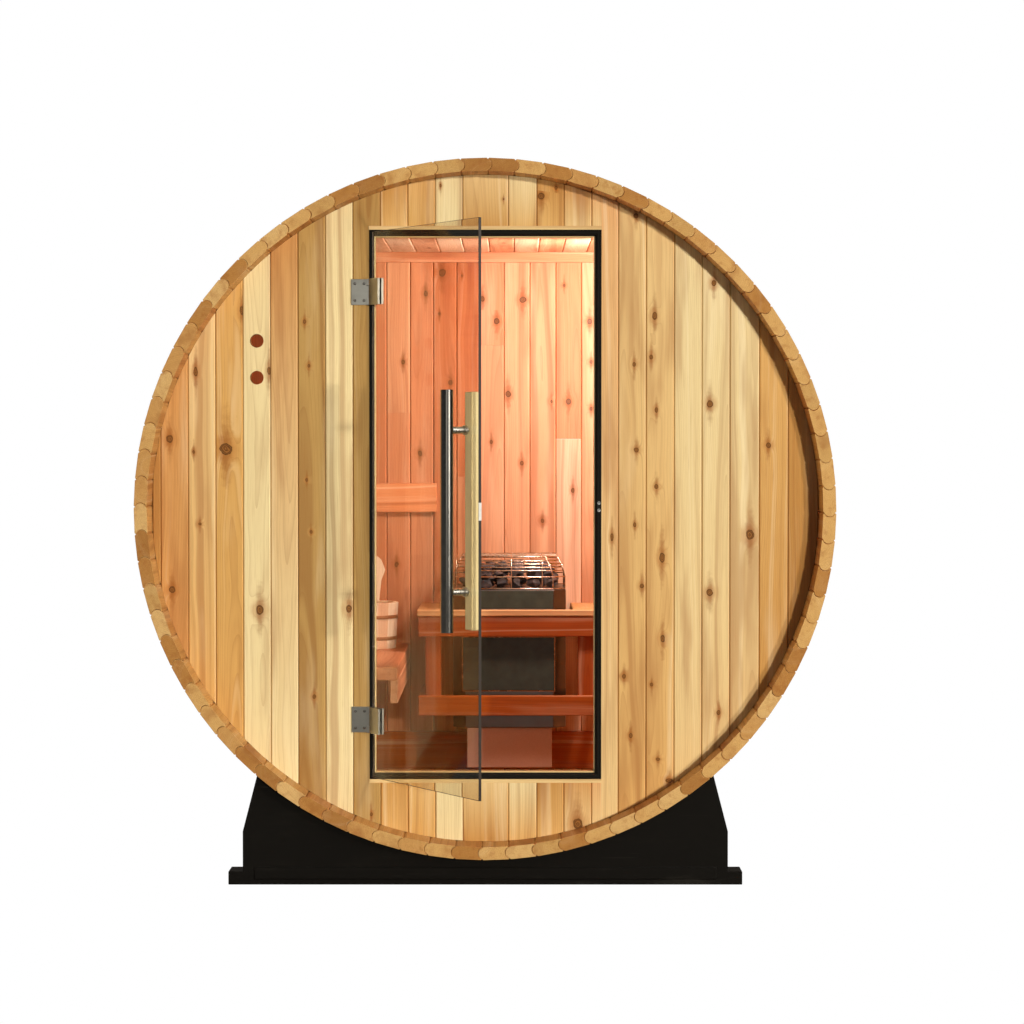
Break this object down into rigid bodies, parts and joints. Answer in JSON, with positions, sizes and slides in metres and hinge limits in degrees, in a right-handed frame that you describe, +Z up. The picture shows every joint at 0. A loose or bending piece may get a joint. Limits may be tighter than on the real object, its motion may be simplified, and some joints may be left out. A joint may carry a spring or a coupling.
{
  "type": "barrel sauna",
  "caption": "Barrel sauna of wooden staves on two moulded cradles, with a hinged glass door standing ajar, a bench and a guarded heater inside.",
  "frame": {"origin": "on the ground, under the middle of the front cradle", "axes": "+Z up, -Y out of the front end with the door, +X to the right seen from the front, the barrel lies along Y"},
  "size_m": [1.8316, 1.6568, 1.9033],
  "materials": {
    "cedar_staves": "smooth planed cedar, end grain at the rim",
    "cedar_end_boards": "planed knotty cedar, clear oiled",
    "cedar_cabin": "planed cedar, reddish",
    "cedar_trim": "planed pale cedar",
    "seal_rubber": "satin black",
    "hinge_steel": "brushed",
    "handle_steel": "polished",
    "door_glass": "clear, bronze tint",
    "handle_wood": "smooth sanded",
    "cradle_plastic": "moulded, fine texture",
    "hoop_steel": "satin",
    "heater_steel": "satin",
    "heater_dark": "satin dark enamel",
    "heater_stone": "rough, broken",
    "bucket_wood": "sanded pale wood"
  },
  "bodies": {
    "barrel": {"stave_group_01": "cedar_staves", "stave_group_02": "cedar_staves", "stave_group_03": "cedar_staves", "stave_group_04": "cedar_staves", "stave_group_05": "cedar_staves", "stave_group_06": "cedar_staves", "stave_group_07": "cedar_staves", "stave_group_08": "cedar_staves", "stave_group_09": "cedar_staves", "stave_group_10": "cedar_staves", "front_wall_left": "cedar_end_boards", "front_wall_right": "cedar_end_boards", "front_wall_over_door": "cedar_end_boards", "front_wall_under_door": "cedar_end_boards", "back_wall": "cedar_end_boards", "doorway_lining": "cedar_trim", "doorway_seal": "seal_rubber", "magnet_catch": "hinge_steel", "hinge_leaf_top": "hinge_steel", "hinge_leaf_bottom": "hinge_steel", "cradle_front": "cradle_plastic", "cradle_rear": "cradle_plastic", "hoop_front": "hoop_steel", "hoop_rear": "hoop_steel", "ceiling": "cedar_cabin", "back_ledger": "cedar_cabin", "back_skirting": "cedar_cabin", "bench_slats": "cedar_cabin", "bench_supports": "cedar_cabin", "backrest": "cedar_cabin", "guard_cap": "cedar_cabin", "guard_rails": "cedar_cabin", "guard_posts": "cedar_cabin", "heater_body": "heater_steel", "heater_lower_box": "heater_steel", "heater_bracket": "heater_steel", "heater_basket": "heater_steel", "heater_stones": "heater_stone", "bucket": "bucket_wood"},
    "door": {"door_glass": "door_glass", "glass_clamp_top": "hinge_steel", "glass_clamp_bottom": "hinge_steel", "outer_handle": "handle_steel", "inner_handle": "handle_wood", "strike_plate": "handle_steel"}
  },
  "joints": [
    {"name": "door_swing", "type": "hinge", "parent": "barrel", "child": "door", "pos_m": [-0.3, -0.013, 0.9875], "axis": [0, 0, -1], "range_deg": [-61, 59]}
  ]
}
